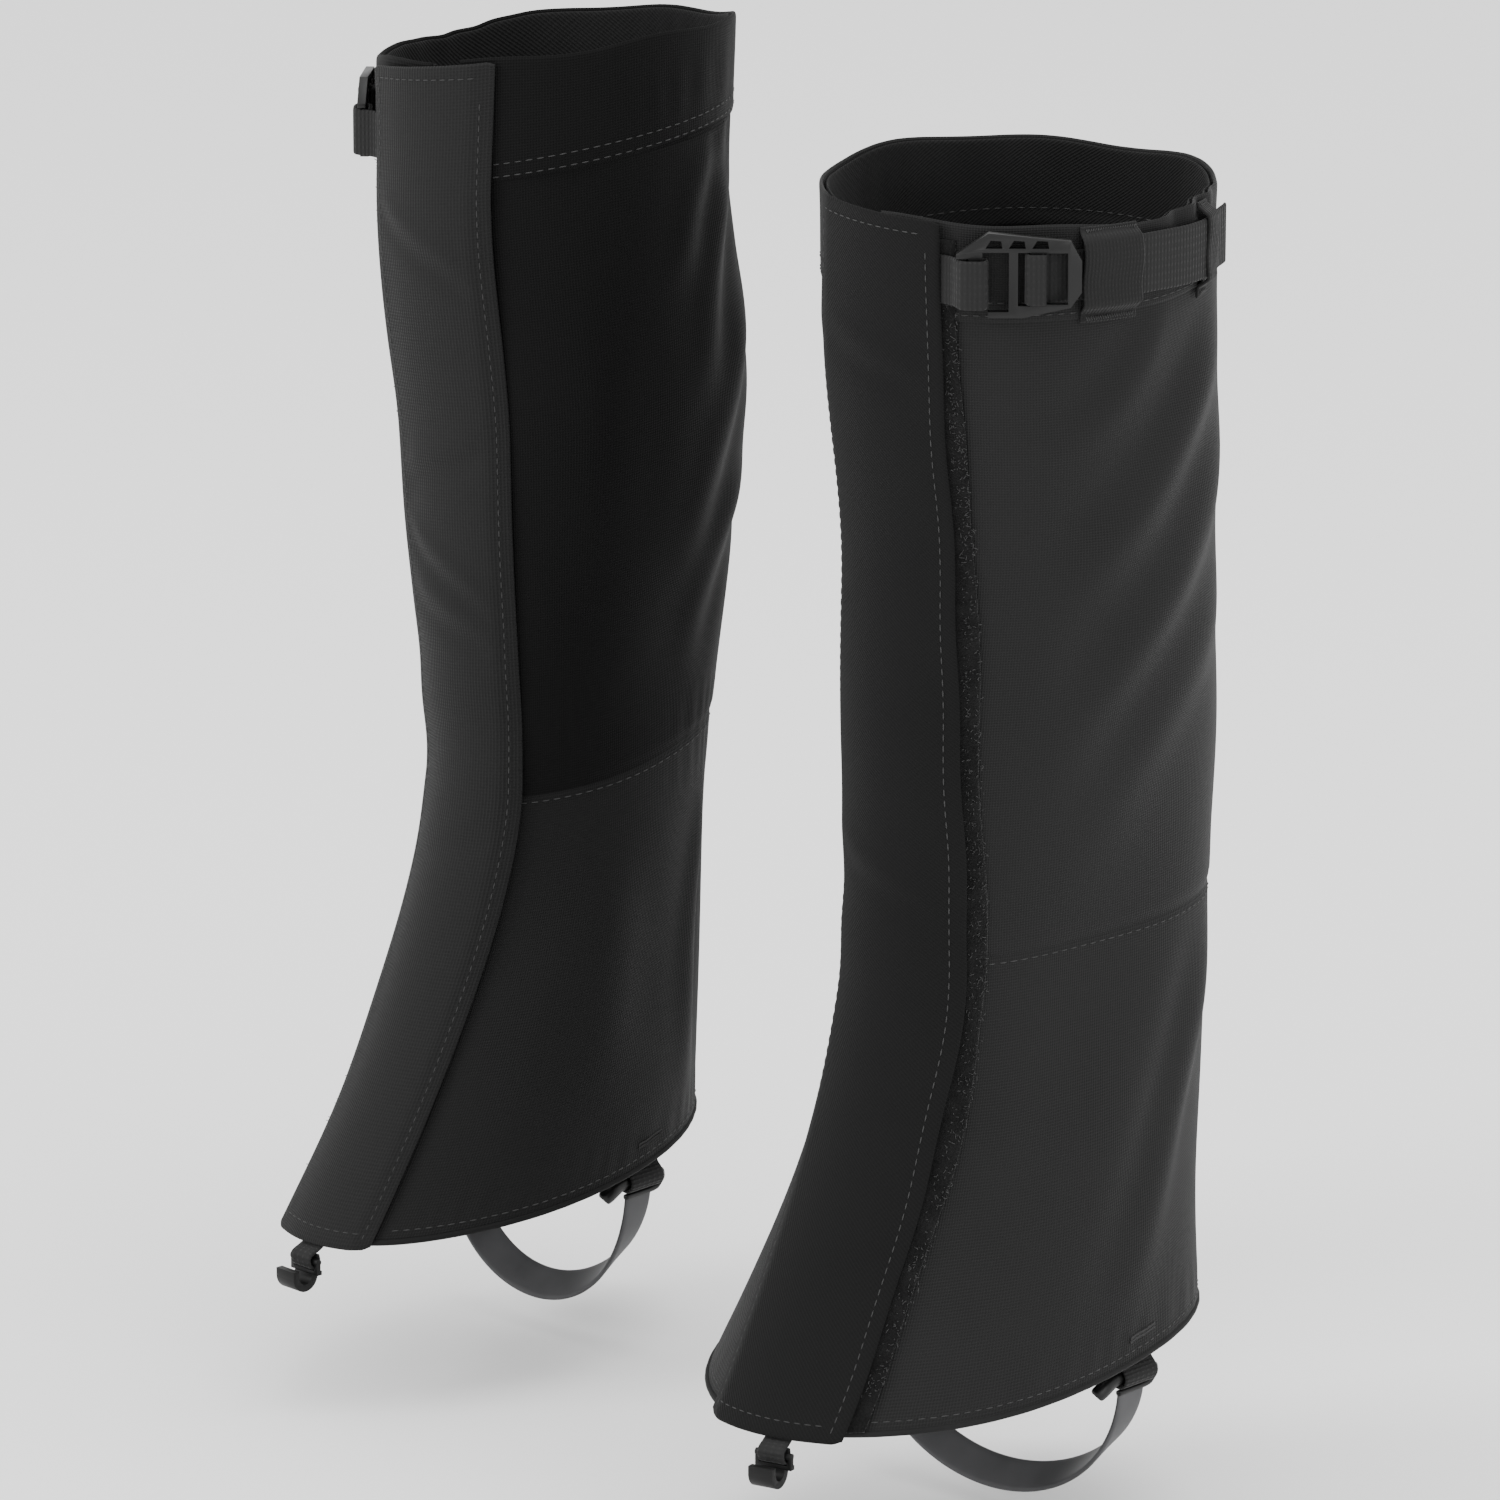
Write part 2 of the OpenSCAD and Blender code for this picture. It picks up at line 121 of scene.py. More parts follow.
def middle(s, z):
    return 17 - 44 * flare(z) - 9 * smooth((z - 270) / 95) + lean_back[s] * z / 400


def outward(z):
    return lean_out * z / 400


def hem(s, t):
    return hem_rise[s] * (1 - np.cos(t)) / 2


def seam(s, t):
    return seam_height[s] + seam_rise[s] * (1 - np.cos(t)) / 2


def dipped(height, s, t):
    return height[s] - rim_tilt[s] * np.sin(t)


def collar_edge(s, t):
    return dipped(collar_height, s, t) + collar_rise[s] * (1 - np.cos(t)) / 2


def edge(s, z, x):
    """The angle at height z of an upright line at distance x from the centre line."""
    return x / wide(s, z)


def sewn(s, z):
    """The distance of the flap's sewn edge from the centre line."""
    return -flap_sewn[s][0] - (flap_sewn[s][1] - flap_sewn[s][0]) * z / 400


def free(s, z):
    """The distance of the flap's free edge from the centre line."""
    return flap_free[s][0] + (flap_free[s][1] - flap_free[s][0]) * z / 400


def near(value, centre, reach):
    return np.exp(-((value - centre) / reach) ** 2)


# the long folds of each gaiter: angle and height of both ends, height of the fold, its width
long_folds = {
    LEFT: [
        (2.25, 372, 1.05, 262, 2.6, 9), (2.35, 338, 1.25, 215, 2.2, 10),
        (1.75, 374, 0.85, 318, 1.7, 7), (2.45, 285, 1.35, 176, 1.8, 11),
        (0.72, 300, 1.30, 196, 1.4, 12), (2.20, 160, 1.75, 20, 2.2, 8),
        (0.80, 140, 1.25, 30, 1.6, 12), (3.6, 360, 4.3, 250, 2.4, 11),
        (4.9, 350, 4.2, 210, 2.2, 11), (5.3, 150, 4.6, 40, 2.0, 11)],
    RIGHT: [
        (-2.20, 368, -1.55, 285, 2.2, 8), (-2.35, 330, -1.60, 220, 2.0, 9),
        (-1.90, 374, -1.35, 330, 1.6, 7), (-2.45, 262, -1.75, 186, 1.8, 9),
        (-0.75, 330, -1.15, 210, 1.0, 12), (-2.25, 150, -2.05, 30, 2.4, 7),
        (-0.95, 130, -1.50, 40, 1.2, 12), (2.2, 350, 1.4, 240, 2.2, 11),
        (3.0, 340, 2.3, 220, 2.2, 11), (1.2, 140, 1.9, 40, 2.0, 11)]}


# how far the collar's gathers stand out
bunched = {RIGHT: 1.4, LEFT: 2.4}


def folds(s, t, z):
    """How far the worn cloth stands off the leg surface at angle t and height z."""
    arc = t * 60
    out = np.zeros(np.broadcast(t, z).shape)
    rng = np.random.default_rng(11 + s)
    for k in range(9):
        length = rng.uniform(60, 150)
        lean = rng.uniform(-0.8, 0.8)
        phase = rng.uniform(0, 6.28)
        turns = max(1, round(377 * math.cos(lean) / length))
        out = out + 0.42 * np.sin(turns * t + z * math.sin(lean) * 6.28 / length + phase)
    for (t0, z0, t1, z1, high, reach) in long_folds[s]:
        ax = (t1 - t0) * 60
        az = z1 - z0
        size = math.hypot(ax, az)
        turned = (t - t0 + math.pi) % (2 * math.pi) - math.pi
        along = (turned * 60 * ax + (z - z0) * az) / size / size
        across = (turned * 60 * az - (z - z0) * ax) / size
        across = across + 5 * np.sin(along * 4.5 + t0 * 3)
        fade = smooth(along / 0.35) * smooth((1.12 - along) / 0.5)
        ridge = near(across, 0, reach) - 0.6 * near(across, reach * 1.7, reach * 0.9)
        out = out + high * fade * ridge
    joint = seam(s, t)
    under = collar_edge(s, t)
    below = np.clip(under - z, 0, 400)
    pucker = np.sin(arc * 0.56 + 1.5 * np.sin(arc * 0.11 + s))
    pucker = pucker * (0.6 + 0.4 * np.sin(arc * 0.07 + 1))
    some = smooth(0.5 + 0.9 * np.sin(2.3 * t + 1.4 * s) + 0.4 * np.sin(5.1 * t))
    out = out + 0.7 * some * pucker * np.exp(-below / 15) * smooth(below / 4) * (z < under)
    band = np.clip(z - under, 0, 60)
    out = out + 0.3 * pucker * smooth(band / 8) * smooth((36 - band) / 20) * (z >= under)
    # the belt gathers the collar behind its keeper
    bunch = near((t + math.pi) % (2 * math.pi) - math.pi, 1.8, 0.34)
    out = out + bunched[s] * bunch * np.sin(arc * 0.42 + 0.6) * smooth((band - 6) / 16)
    tight = np.sin(arc * 0.8 + 1.8 * np.sin(arc * 0.13))
    out = out + 0.13 * some * tight * (near(z, joint + 8, 7) + near(z, joint - 9, 8))
    out = out - 0.55 * near(z, joint, 1.7)
    out = out + 0.15 * tight * near(z, hem(s, t) + 9, 7)
    hold = 1 - 0.75 * near(z, belt_height[s], 15) * (z > under)
    front = np.clip(np.cos((t + math.pi) % (2 * math.pi) - math.pi) * 3 - 1.9, 0, 1)
    return np.clip(out * hold * (1 - 0.8 * front), -4, 5)


def leg(s, t, z, r, soft=1.0):
    """Points in the row frame, in metres, at angle t, height z and offset r from the leg."""
    t, z, r = np.broadcast_arrays(t, z, r)
    r = r + soft * folds(s, t, z)
    x = outward(z) + (wide(s, z) + r) * np.sin(t)
    y = middle(s, z) - (deep(s, z) + r) * np.cos(t)
    return row(s, np.stack([x, y, z], -1))


def row(s, p):
    """A gaiter's own millimetres, outer side towards +X, as metres in the row frame."""
    p = np.array(p, float)
    p[..., 0] = s * (p[..., 0] + spacing / 2)
    p[..., 1] -= s * stagger / 2
    return p / 1000


# ---------------------------------------------------------------- mesh helpers

def link(mesh, name):
    ob = bpy.data.objects.new(name, mesh)
    bpy.context.scene.collection.objects.link(ob)
    return ob


def build(name, verts, faces, uv=None):
    mesh = bpy.data.meshes.new(name)
    mesh.from_pydata(np.asarray(verts).tolist(), [], [list(map(int, f)) for f in faces])
    if uv is not None:
        layer = mesh.uv_layers.new(name="weave")
        loops = np.empty(len(mesh.loops), int)
        mesh.loops.foreach_get("vertex_index", loops)
        layer.data.foreach_set("uv", np.asarray(uv)[loops].astype(np.float32).ravel())
    mesh.polygons.foreach_set("use_smooth", [True] * len(mesh.polygons))
    mesh.update()
    return link(mesh, name)


def face_outwards(ob):
    """Turns every face outwards."""
    bm = bmesh.new()
    bm.from_mesh(ob.data)
    bmesh.ops.recalc_face_normals(bm, faces=bm.faces)
    bm.to_mesh(ob.data)
    bm.free()
    return ob


def normals(p):
    a = np.gradient(p, axis=0)
    b = np.gradient(p, axis=1)
    n = np.cross(a, b)
    return n / np.maximum(np.linalg.norm(n, axis=-1, keepdims=True), 1e-12)


def spaced(n, rim):
    """0 to 1 in n steps, with extra steps close to both ends for a rounded edge."""
    inner = np.linspace(rim, 1 - rim, n)
    ends = rim * np.array([0, 0.08, 0.3, 0.6])
    return np.concatenate([ends, inner, (1 - ends)[::-1]])


def cloth(name, s, middle_points, us, vs, half, rim, size):
    """A sheet with two faces and rounded edges. middle_points(u, v) gives its middle surface.
    half is half its thickness, and rim how far its edges round, all in mm. size is its flat
    size in mm."""
    u, v = np.meshgrid(us, vs, indexing="ij")
    p = middle_points(u, v)
    n = normals(p)
    if s > 0:
        n = -n
    to_edge = np.minimum(np.minimum(u, 1 - u) * size[0], np.minimum(v, 1 - v) * size[1])
    close = np.clip(1 - to_edge / rim, 0, 1)
    thick = half / 1000 * np.sqrt(np.clip(1 - close ** 2, 0.0, 1))[..., None]
    outer = p - n * thick
    inner = p + n * thick
    a, b = u.shape
    count = a * b
    ids = np.arange(count).reshape(a, b)
    quads = [np.stack([ids[:-1, :-1], ids[1:, :-1], ids[1:, 1:], ids[:-1, 1:]], -1).reshape(-1, 4)]
    other = quads[0][:, ::-1] + count
    quads.append(other)
    rim_ids = np.concatenate([ids[:, 0], ids[-1, 1:], ids[-2::-1, -1], ids[0, -2:0:-1]])
    nxt = np.roll(rim_ids, -1)
    quads.append(np.stack([nxt, rim_ids, rim_ids + count, nxt + count], -1))
    verts = np.concatenate([outer.reshape(-1, 3), inner.reshape(-1, 3)])
    uv = np.stack([u * size[0], v * size[1]], -1).reshape(-1, 2) / 1000
    ob = build(name, verts, np.concatenate(quads), np.concatenate([uv, uv]))
    return face_outwards(ob)


def tube_mesh(path, radius, sides=8, close=False, ref=None):
    """Vertices and faces of a round tube along path, in metres. ref is a direction that the
    path never takes."""
    path = np.asarray(path, float)
    n = len(path)
    along = np.gradient(path, axis=0)
    if close:
        along = np.roll(path, -1, 0) - np.roll(path, 1, 0)
    along /= np.maximum(np.linalg.norm(along, axis=1, keepdims=True), 1e-12)
    if ref is None:
        upright = abs(along[0][2]) > 0.8
        ref = (1.0, 0.3, 0.0) if upright else (0.0, 0.0, 1.0)
    side = np.cross(along, ref)
    side /= np.maximum(np.linalg.norm(side, axis=1, keepdims=True), 1e-12)
    up = np.cross(side, along)
    radius = np.broadcast_to(radius, (n,))
    ang = np.linspace(0, 2 * math.pi, sides, endpoint=False)
    ring = side[:, None] * np.cos(ang)[None, :, None] + up[:, None] * np.sin(ang)[None, :, None]
    verts = (path[:, None] + ring * radius[:, None, None]).reshape(-1, 3)
    faces = []
    for i in range(n if close else n - 1):
        for k in range(sides):
            a = i * sides + k
            b = i * sides + (k + 1) % sides
            c = ((i + 1) % n) * sides
            faces.append([a, b, c + (k + 1) % sides, c + k])
    if not close:
        faces.append(list(range(sides))[::-1])
        faces.append([(n - 1) * sides + k for k in range(sides)])
    return verts, faces


def stitches(name, rows, long, gap, thick):
    """Rows of sewn thread. Each row is a dense path in metres, lying on the cloth. A stitch is
    long mm with gap mm to the next, of thread with a radius of thick mm."""
    verts = []
    faces = []
    count = 0
    for path in rows:
        path = np.asarray(path, float)
        run = np.concatenate([[0], np.cumsum(np.linalg.norm(np.diff(path, axis=0), axis=1))]) * 1000
        for start in np.arange(0.8, run[-1] - long, long + gap):
            at = np.linspace(start, start + long, 5)
            p = np.stack([np.interp(at, run, path[:, k]) for k in range(3)], -1)
            v, f = tube_mesh(p, np.array([0.45, 0.95, 1.05, 0.95, 0.45]) * thick / 1000, 6)
            verts.append(v)
            faces.extend([[i + count for i in q] for q in f])
            count += len(v)
    return build(name, np.concatenate(verts), faces)


# ---------------------------------------------------------------- materials

def material(name, base, rough=0.8, spec=0.3, sheen=0.0, sheen_rough=0.4, metal=0.0, coat=0.0):
    """A material with the plain numbers set on the shader, and its node tools."""
    mat = bpy.data.materials.new(name)
    mat.use_nodes = True
    nodes = mat.node_tree.nodes
    shader = nodes["Principled BSDF"]
    shader.inputs["Base Color"].default_value = (*base, 1)
    shader.inputs["Roughness"].default_value = rough
    shader.inputs["Specular IOR Level"].default_value = spec
    shader.inputs["Metallic"].default_value = metal
    shader.inputs["Sheen Weight"].default_value = sheen
    shader.inputs["Sheen Roughness"].default_value = sheen_rough
    shader.inputs["Coat Weight"].default_value = coat
    return mat, nodes, mat.node_tree.links, shader


def maths(nodes, links, what, a, b=None):
    node = nodes.new("ShaderNodeMath")
    node.operation = what
    for k, value in enumerate((a, b)):
        if value is None:
            continue
        if isinstance(value, (int, float)):
            node.inputs[k].default_value = value
        else:
            links.new(value, node.inputs[k])
    return node.outputs[0]


def noise(nodes, links, vector, scale, detail=3.0):
    node = nodes.new("ShaderNodeTexNoise")
    node.inputs["Scale"].default_value = scale
    node.inputs["Detail"].default_value = detail
    links.new(vector, node.inputs["Vector"])
    return node.outputs["Fac"]


def wave(nodes, links, value, per_metre):
    """A sine along value, one crest every 1/per_metre metres, from 0 to 1."""
    turn = maths(nodes, links, "MULTIPLY", value, per_metre * 2 * math.pi)
    sine = maths(nodes, links, "SINE", turn)
    return maths(nodes, links, "MULTIPLY_ADD", sine, 0.5)


def two_tone(nodes, links, fac, low, high, dark, light):
    """Colour from dark to light as fac goes from low to high."""
    ramp = nodes.new("ShaderNodeMapRange")
    ramp.inputs["From Min"].default_value = low
    ramp.inputs["From Max"].default_value = high
    links.new(fac, ramp.inputs["Value"])
    mix = nodes.new("ShaderNodeMix")
    mix.data_type = "RGBA"
    mix.inputs["A"].default_value = (*dark, 1)
    mix.inputs["B"].default_value = (*light, 1)
    links.new(ramp.outputs["Result"], mix.inputs["Factor"])
    return mix.outputs["Result"]


def bump(nodes, links, shader, height, strength, distance):
    node = nodes.new("ShaderNodeBump")
    node.inputs["Strength"].default_value = strength
    node.inputs["Distance"].default_value = distance
    links.new(height, node.inputs["Height"])
    links.new(node.outputs["Normal"], shader.inputs["Normal"])


def weave(name, tone, pitch=1.1, kind="plain", depth=0.25, rough=0.78, sheen=0.25, spread=0.22,
          spec=0.3):
    """Woven cloth: threads both ways in the piece's own UV, mottled colour and a soft sheen."""
    mat, nodes, links, shader = material(name, (tone,) * 3, rough, spec, sheen, 0.35)
    where = nodes.new("ShaderNodeUVMap").outputs["UV"]
    place = nodes.new("ShaderNodeTexCoord").outputs["Object"]
    split = nodes.new("ShaderNodeSeparateXYZ")
    links.new(where, split.inputs[0])
    x, y = split.outputs["X"], split.outputs["Y"]
    per = 1000 / pitch
    if kind == "twill":
        lean = maths(nodes, links, "ADD", x, y)
        threads = wave(nodes, links, lean, per)
        fine = wave(nodes, links, maths(nodes, links, "SUBTRACT", x, y), per * 0.5)
        height = maths(nodes, links, "MULTIPLY_ADD", threads, 0.8)
        links.new(maths(nodes, links, "MULTIPLY", fine, 0.2), height.node.inputs[2])
    elif kind == "ribbed":
        height = wave(nodes, links, x, per)
        cross = wave(nodes, links, y, per * 0.6)
        floor_of_rib = maths(nodes, links, "MAXIMUM", cross, 0.45)
        height = maths(nodes, links, "MULTIPLY", height, floor_of_rib)
    else:
        a = wave(nodes, links, x, per)
        b = wave(nodes, links, y, per)
        height = maths(nodes, links, "MAXIMUM", a, b)
        height = maths(nodes, links, "MULTIPLY", height, maths(nodes, links, "ADD", a, b))
    blotch = noise(nodes, links, place, 28, 4)
    grain = noise(nodes, links, place, 900, 2)
    fuzz = maths(nodes, links, "MULTIPLY_ADD", grain, 0.5)
    links.new(height, fuzz.node.inputs[2])
    mixed = maths(nodes, links, "ADD", maths(nodes, links, "MULTIPLY", height, 0.5), blotch)
    low = tuple([tone * (1 - spread)] * 3)
    high = tuple([tone * (1 + spread) + 0.002] * 3)
    links.new(two_tone(nodes, links, mixed, 0.35, 1.15, low, high), shader.inputs["Base Color"])
    worn = nodes.new("ShaderNodeMapRange")
    worn.inputs["To Min"].default_value = rough - 0.12
    worn.inputs["To Max"].default_value = min(1.0, rough + 0.1)
    links.new(blotch, worn.inputs["Value"])
    links.new(worn.outputs["Result"], shader.inputs["Roughness"])
    bump(nodes, links, shader, fuzz, depth, 0.0004)
    return mat


def pile(name, tone, scale=1500, depth=0.7):
    """Hook or loop tape: a short fuzzy pile."""
    mat, nodes, links, shader = material(name, (tone,) * 3, 0.95, 0.05, 0.15, 0.5)
    place = nodes.new("ShaderNodeTexCoord").outputs["Object"]
    fine = noise(nodes, links, place, scale, 2)
    coarse = noise(nodes, links, place, 160, 3)
    both = maths(nodes, links, "ADD", fine, coarse)
    low = tuple([tone * 0.5] * 3)
    high = tuple([tone * 1.5] * 3)
    links.new(two_tone(nodes, links, both, 0.7, 1.3, low, high), shader.inputs["Base Color"])
    bump(nodes, links, shader, both, depth, 0.0008)
    return mat


def moulded(name, tone, rough, sheen=0.0, coat=0.0, spec=0.4, tint=1.0):
    """Moulded plastic, coated metal or rubber with a fine grain and worn, paler patches."""
    mat, nodes, links, shader = material(name, (tone,) * 3, rough, spec, sheen, 0.4, 0.0, coat)
    place = nodes.new("ShaderNodeTexCoord").outputs["Object"]
    grain = noise(nodes, links, place, 2200, 2)
    cloud = noise(nodes, links, place, 60, 4)
    low = (tone * 0.82, tone * 0.82, tone * 0.82 * tint)
    high = (tone * 1.2, tone * 1.2, tone * 1.2 * tint)
    links.new(two_tone(nodes, links, cloud, 0.3, 0.7, low, high), shader.inputs["Base Color"])
    worn = nodes.new("ShaderNodeMapRange")
    worn.inputs["To Min"].default_value = rough - 0.1
    worn.inputs["To Max"].default_value = rough + 0.12
    links.new(cloud, worn.inputs["Value"])
    links.new(worn.outputs["Result"], shader.inputs["Roughness"])
    bump(nodes, links, shader, grain, 0.12, 0.0002)
    return mat


# The shell, foot and flap cloth is one dark nylon, given a different tone on each gaiter and each
# piece as painted light and painted shade: the right shell is darkened and the right flap lightened
# for how each faces the lamps, and on the left gaiter the flap is the darker piece.
lit_and_shaded_cloth = {
    "shell": {
        RIGHT: weave("right_shell_cloth", 0.0024, 0.9, "plain", 0.3, 0.7, 0.03, 0.25, 0.07),
        LEFT: weave("left_shell_cloth", 0.0082, 0.9, "plain", 0.3, 0.7, 0.04, 0.25, 0.13)},
    "foot": {
        RIGHT: weave("right_foot_cloth", 0.0058, 1.0, "plain", 0.35, 0.75, 0.04, 0.25, 0.12),
        LEFT: weave("left_foot_cloth", 0.0090, 1.0, "plain", 0.35, 0.75, 0.04, 0.25, 0.13)},
    "flap": {
        RIGHT: weave("right_flap_cloth", 0.0095, 1.15, "plain", 0.4, 0.85, 0.06, 0.12, 0.14),
        LEFT: weave("left_flap_cloth", 0.0052, 1.25, "twill", 0.4, 0.85, 0.04, 0.12, 0.1)}}
lining = weave("lining_cloth", 0.0115, 1.6, "twill", 0.6, 0.9, 0.03, 0.3, 0.1)
webbing = weave("webbing", 0.015, 1.5, "ribbed", 0.7, 0.85, 0.06, 0.2, 0.16)
webbing_across = weave("webbing_across", 0.012, 1.2, "ribbed", 0.7, 0.85, 0.06, 0.2, 0.16)
loop_pile = pile("loop_pile", 0.006)
hook_pile = pile("hook_pile", 0.006, 2200)
thread = moulded("thread", 0.028, 0.8, 0.05)
fibre = moulded("fibre", 0.03, 0.85, 0.05)
buckle_plastic = moulded("buckle_plastic", 0.0055, 0.4, 0.0, 0.0, 0.26)
hook_plastic = moulded("hook_plastic", 0.003, 0.4, 0.0, 0.0, 0.3)
hook_metal = moulded("hook_metal", 0.0035, 0.5, 0.0, 0.0, 0.2)
strap_rubber = moulded("strap_rubber", 0.058, 0.5, 0.0, 0.0, 0.22, 1.04)


def finish_piece(ob, mat, body, stands_for=()):
    ob.data.materials.append(mat)
    if body:
        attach(ob, body)
    if stands_for:
        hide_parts(*stands_for)
    return ob


# ---------------------------------------------------------------- cloth panels

def panel(name, s, t0, t1, low, high, r, half, size, steps, soft=1.0, rim=2.0):
    """A panel of the leg surface. t0 and t1 give the side edges at a height, low and high the
    lower and upper edges at an angle."""
    def points(u, v):
        a = t0(np.full(u.shape, 200.0))
        b = t1(np.full(u.shape, 200.0))
        t = a + u * (b - a)
        z = low(t) + v * (high(t) - low(t))
        a = t0(z)
        b = t1(z)
        return leg(s, a + u * (b - a), z, r, soft)
    us = spaced(steps[0], rim / size[0])
    vs = spaced(steps[1], rim / size[1])
    return cloth(name, s, points, us, vs, half, rim, size)


def line(s, ts, zs, r, soft=1.0):
    return leg(s, np.asarray(ts, float), np.asarray(zs, float), r, soft)


def rim_line(s, t):
    """The rim rises and dips a little."""
    return dipped(rim_height, s, t) + 0.9 * np.sin(3 * t + 0.6) + 0.7 * np.sin(7 * t + 1.1 * s)


def rounded(name, node, body, mat, width):
    """A piece with the shape of a CAD node and its edges rounded."""
    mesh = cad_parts[node].data.copy()
    mesh.materials.clear()
    bm = bmesh.new()
    bm.from_mesh(mesh)
    bmesh.ops.remove_doubles(bm, verts=bm.verts, dist=1e-6)
    bmesh.ops.dissolve_limit(bm, angle_limit=0.02, verts=bm.verts, edges=bm.edges)
    bmesh.ops.recalc_face_normals(bm, faces=bm.faces)
    bm.to_mesh(mesh)
    bm.free()
    ob = link(mesh, name)
    bevel = ob.modifiers.new("edges", "BEVEL")
    bevel.width = width / 1000
    bevel.segments = 3
    bevel.limit_method = "ANGLE"
    bevel.angle_limit = 0.6
    bevel.harden_normals = True
    graph = bpy.context.evaluated_depsgraph_get()
    ob.data = bpy.data.meshes.new_from_object(ob.evaluated_get(graph))
    ob.modifiers.clear()
    ob.data.polygons.foreach_set("use_smooth", [True] * len(ob.data.polygons))
    return finish_piece(ob, mat, body, [node])


def curve_through(points, n):
    """A smooth path of n points through the given ones."""
    p = np.asarray(points, float)
    p = np.concatenate([[2 * p[0] - p[1]], p, [2 * p[-1] - p[-2]]])
    out = []
    for i in range(1, len(p) - 2):
        for u in np.linspace(0, 1, 16, endpoint=False):
            a, b, c, d = p[i - 1], p[i], p[i + 1], p[i + 2]
            out.append(0.5 * (2 * b + (c - a) * u + (2 * a - 5 * b + 4 * c - d) * u ** 2
                              + (3 * b - a - 3 * c + d) * u ** 3))
    out.append(p[-2])
    out = np.array(out)
    run = np.concatenate([[0], np.cumsum(np.linalg.norm(np.diff(out, axis=0), axis=1))])
    at = np.linspace(0, run[-1], n)
    return np.stack([np.interp(at, run, out[:, k]) for k in range(out.shape[1])], -1), run[-1]


def ribbon(name, s, path, length, across, width, half, steps):
    """A strap of webbing along path, a list of points in metres, with its width along across,
    one direction or one for each point."""
    n = len(path)
    across = np.broadcast_to(np.asarray(across, float), (n, 3))

    def points(u, v):
        at = u * (n - 1)
        p = np.stack([np.interp(at, np.arange(n), path[:, k]) for k in range(3)], -1)
        way = np.stack([np.interp(at, np.arange(n), across[:, k]) for k in range(3)], -1)
        return p + way * ((v - 0.5) * width / 1000)[..., None]
    ob = cloth(name, s, points, np.linspace(0, 1, steps), spaced(10, 0.05), half, 0.9,
               (length, width))
    return ob


def on_belt(s, x, y, z):
    """A point of the belt zone: x out of the cloth, y backwards round the leg, z from the belt."""
    turn = math.radians(buckle_angle[s] - 90)
    height = belt_height[s]
    reach = top_radius[s] + 3.4 + x
    px = outward(height) + reach * math.cos(turn) - y * math.sin(turn)
    py = middle(s, height) + reach * math.sin(turn) + y * math.cos(turn)
    return row(s, [px, py, height + z])


def dip(s, r, y):
    return math.sqrt((top_radius[s] + r) ** 2 - y * y) - top_radius[s] - 3.4


def belt_piece(name, s, points, width, drop, half=0.65):
    """Webbing folded round a bar of the buckle. points are x and y in the belt zone."""
    flat, _ = curve_through(points, 90)
    path = np.array([on_belt(s, x, y, drop) for x, y in flat])
    length = np.linalg.norm(np.diff(path, axis=0), axis=1).sum() * 1000
    return ribbon(name, s, path, length, (0, 0, 1), width, half, 110)


def bridge(name, s, start, end):
    """A webbing bridge over the belt, sewn above and below it."""
    t0 = math.radians(buckle_angle[s] + start)
    t1 = math.radians(buckle_angle[s] + end)

    def points(u, v):
        z = -17.5 + 32 * v
        t = t0 + u * (t1 - t0) + 0.004 * np.sin(z * 0.35)
        r = 2.2 + 3.9 * smooth((z + 14.6) / 4.2) * smooth((13.6 - z) / 3.6)
        r = r + 0.25 * np.sin(v * 9 + u * 2) * smooth((z + 14) / 5) * smooth((12 - z) / 5)
        return leg(s, t, belt_height[s] + z, r, 0.0)
    wide_mm = (t1 - t0) * (top_radius[s] + 5)
    return cloth(name, s, points, spaced(12, 0.06), spaced(60, 0.03), 0.65, 0.9, (wide_mm, 36))


def bar_tack(centre, along, up, length, high):
    """A dense zigzag of thread, as a path in metres round centre."""
    n = int(length / 0.42)
    k = np.arange(n)
    side = (k / (n - 1) - 0.5) * length / 1000
    rise = np.where(k % 2 == 0, high, -high) / 2000
    return centre + np.outer(side, along) + np.outer(rise, up)


def sewn_line(name, rows, body):
    """Rows of stitches through a panel."""
    return finish_piece(stitches(name, rows, 2.4, 1.5, 0.2), thread, body)


def threads(name, paths, body, slot_name, thick=0.00022, mat=thread):
    """Continuous threads, such as bar tacks. thick is their radius in metres."""
    verts = []
    faces = []
    count = 0
    for path in paths:
        v, f = tube_mesh(path, thick, 5)
        verts.append(v)
        faces.extend([[i + count for i in q] for q in f])
        count += len(v)
    return finish_piece(build(name, np.concatenate(verts), faces), mat, body)


